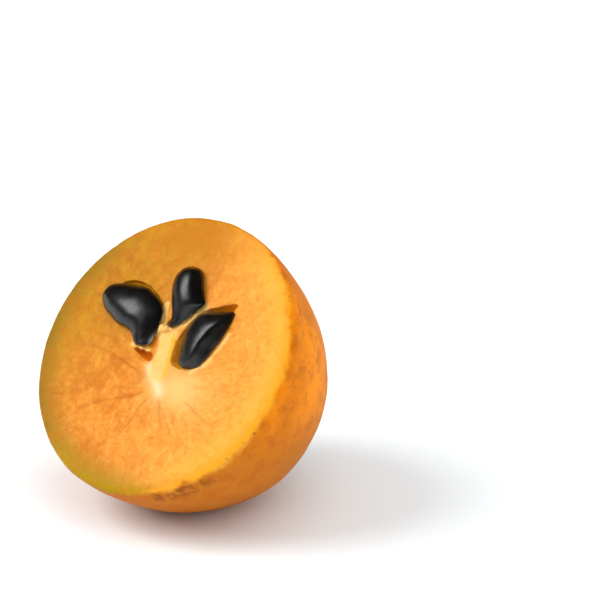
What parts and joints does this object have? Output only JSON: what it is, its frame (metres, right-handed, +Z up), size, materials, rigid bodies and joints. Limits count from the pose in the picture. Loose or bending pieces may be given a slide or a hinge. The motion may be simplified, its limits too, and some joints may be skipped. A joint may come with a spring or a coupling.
{
  "type": "halved sapodilla",
  "caption": "Sapodilla cut across and lying on its side, with loose black seeds in pockets round a pale core and a dry calyx at the stem end.",
  "frame": {"origin": "middle of the small flat spot that the fruit rests on", "axes": "+Z up, +X to the right along the cut face, which looks towards -Y and up by 40 degrees"},
  "size_m": [0.0694, 0.0605, 0.0612],
  "materials": {
    "flesh_and_skin": "moist amber flesh on the cut face, thin dull orange-brown scurfy skin outside",
    "seed_coat": "glossy black seed coat",
    "dry_calyx": "dry, rough, dark brown"
  },
  "bodies": {
    "root": {"fruit_half": "flesh_and_skin", "seed_left": "seed_coat", "seed_top": "seed_coat", "seed_right": "seed_coat", "calyx": "dry_calyx"}
  },
  "joints": []
}
